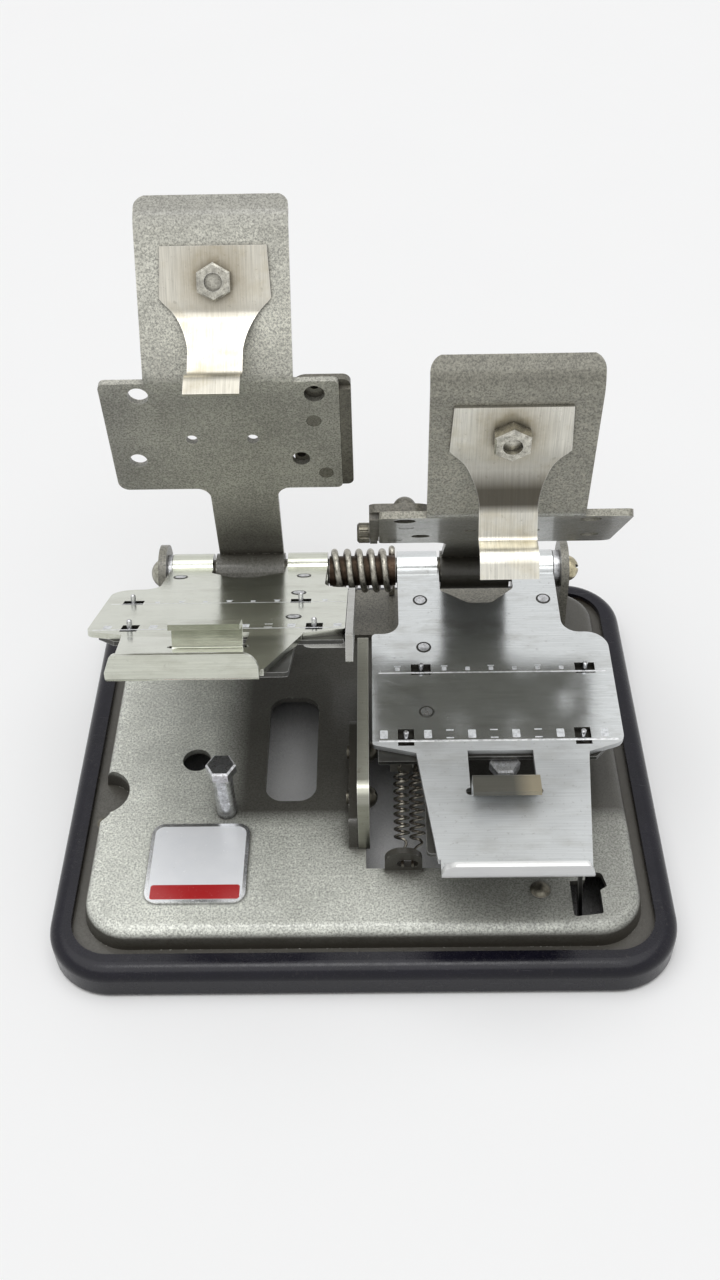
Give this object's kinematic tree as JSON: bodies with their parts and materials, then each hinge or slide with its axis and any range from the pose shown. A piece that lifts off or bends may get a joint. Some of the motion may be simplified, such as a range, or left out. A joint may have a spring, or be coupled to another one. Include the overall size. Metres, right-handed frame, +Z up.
{
  "type": "film splicer",
  "caption": "Cement splicer for 8 mm film: base with rubber rim, two hinged film stages with sprocket pins, two clamp gates with latch leaves, and a shear blade between them.",
  "frame": {"origin": "centre of the rubber rim's outline, at the surface that the splicer stands on", "axes": "+Z up, +X to the user's right along the hinge shaft, +Y away from the user, towards the hinge"},
  "size_m": [0.1066, 0.0944, 0.0961],
  "materials": {
    "hammer_paint": "speckled grey-olive hammer paint, satin",
    "rim_rubber": "matt black",
    "bright_steel": "bright, fine brushed",
    "plated_steel": "dulled bright plating",
    "spring_steel": "drawn wire, a little rust",
    "bare_badge": "satin, bare",
    "brass": "tarnished"
  },
  "bodies": {
    "base": {"base_pan": "hammer_paint", "rubber_rim": "rim_rubber", "badge_plate": "bare_badge", "base_screw": "plated_steel", "side_screw": "plated_steel", "rear_bracket": "hammer_paint", "bracket_rivets": "plated_steel", "hinge_shaft": "plated_steel", "shaft_end_screw": "brass", "hinge_washers": "plated_steel", "spacer_sleeve": "plated_steel", "torsion_spring": "spring_steel", "fixed_blade": "bright_steel", "fixed_blade_screws": "plated_steel", "stop_bolt_nuts": "plated_steel", "inner_extension_spring": "spring_steel", "outer_extension_spring": "spring_steel", "left_stop_bolt": "plated_steel", "right_stop_bolt": "plated_steel"},
    "left_stage": {"left_stage_plate": "bright_steel", "left_pin_plate": "plated_steel", "left_film_pins": "plated_steel", "left_stage_rivets": "plated_steel", "left_knife": "bright_steel", "left_knife_rivets": "plated_steel"},
    "right_stage": {"right_stage_plate": "bright_steel", "right_pin_plate": "plated_steel", "right_film_pins": "plated_steel", "right_stage_rivets": "plated_steel", "right_spring_anchor": "plated_steel"},
    "left_gate_arm": {"left_gate": "hammer_paint", "left_leaf": "bright_steel", "left_leaf_nut": "plated_steel", "left_leaf_screw": "plated_steel", "left_edge_plate": "hammer_paint", "left_edge_rivets": "plated_steel"},
    "right_gate_arm": {"right_gate": "hammer_paint", "right_leaf": "bright_steel", "right_leaf_nut": "plated_steel", "right_leaf_screw": "plated_steel", "right_edge_plate": "hammer_paint", "right_edge_rivets": "plated_steel", "right_trim_screw": "plated_steel"}
  },
  "joints": [
    {"name": "left_stage_swing", "type": "hinge", "parent": "base", "child": "left_stage", "pos_m": [0, 0.0331, 0.0232], "axis": [-1, 0, 0], "range_deg": [-28, 8], "stiffness_Nm_per_rad": 0.02, "springref_deg": 28.65},
    {"name": "left_gate_swing", "type": "hinge", "parent": "left_stage", "child": "left_gate_arm", "pos_m": [0, 0.0331, 0.0232], "axis": [-1, 0, 0], "range_deg": [-54.2, 45]},
    {"name": "right_stage_lift", "type": "hinge", "parent": "base", "child": "right_stage", "pos_m": [0, 0.0331, 0.0232], "axis": [-1, 0, 0], "range_deg": [0, 4], "stiffness_Nm_per_rad": 0.12, "springref_deg": -28.65, "deforming": ["inner_extension_spring", "outer_extension_spring"]},
    {"name": "right_gate_swing", "type": "hinge", "parent": "right_stage", "child": "right_gate_arm", "pos_m": [0, 0.0331, 0.0232], "axis": [-1, 0, 0], "range_deg": [-49.3, 50]}
  ]
}
